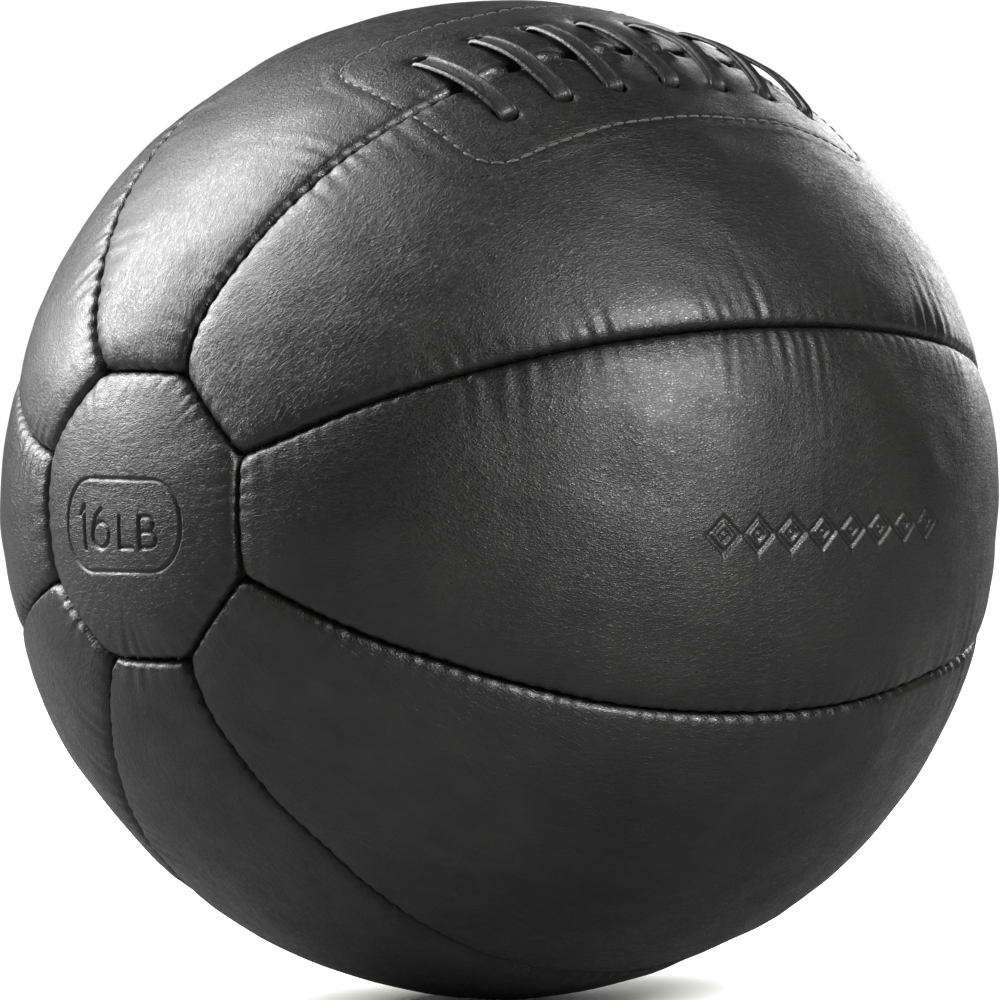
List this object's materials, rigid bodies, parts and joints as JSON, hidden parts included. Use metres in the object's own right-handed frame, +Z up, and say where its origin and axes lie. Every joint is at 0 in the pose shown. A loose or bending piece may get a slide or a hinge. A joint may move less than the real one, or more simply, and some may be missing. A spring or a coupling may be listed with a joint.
{
  "type": "medicine ball",
  "caption": "Stuffed leather exercise ball of long gores and two eight-sided end caps, with a laced slit, a sewn facing each side of it and a weight inside.",
  "frame": {"origin": "the ball's centre", "axes": "+Z up as the weight mark reads; the seams run cap to cap along X, with the marked cap at -X and the plain cap at +X; the laced slit faces up and a little to the front, -Y"},
  "size_m": [0.305, 0.305, 0.305],
  "materials": {
    "black_leather": "black finished leather, fine grain, semi-gloss",
    "facing_leather": "undressed split leather",
    "lace_leather": "black flat lace with creased edges",
    "waxed_thread": "black waxed polyester thread",
    "lining_thread": "undyed cotton thread",
    "lining_cloth": "undyed plain-woven cotton",
    "textile_stuffing": "packed shredded textile",
    "canvas": "close-woven cotton canvas",
    "twine": "laid jute twine",
    "dry_sand": "dry fine sand"
  },
  "bodies": {
    "root": {"gore_top": "black_leather", "gore_upper_front": "black_leather", "gore_front": "black_leather", "gore_lower_front": "black_leather", "gore_bottom": "black_leather", "gore_lower_back": "black_leather", "gore_back": "black_leather", "gore_upper_back": "black_leather", "cap_marked": "black_leather", "cap_plain": "black_leather", "facing_front": "facing_leather", "facing_back": "facing_leather", "tongue": "facing_leather", "lace": "lace_leather", "seam_thread_1": "waxed_thread", "seam_thread_3": "waxed_thread", "seam_thread_4": "waxed_thread", "seam_thread_5": "waxed_thread", "seam_thread_6": "waxed_thread", "seam_thread_7": "waxed_thread", "seam_thread_8": "waxed_thread", "seam_thread_laced_marked_end": "waxed_thread", "seam_thread_laced_plain_end": "waxed_thread", "cap_thread_marked": "waxed_thread", "cap_thread_plain": "waxed_thread", "facing_thread_front": "waxed_thread", "facing_thread_back": "waxed_thread", "lining_bag": "lining_cloth", "lining_closing_thread": "lining_thread", "stuffing": "textile_stuffing", "weight_bag": "canvas", "weight_bag_tie": "twine", "weight_fill": "dry_sand"}
  },
  "joints": []
}
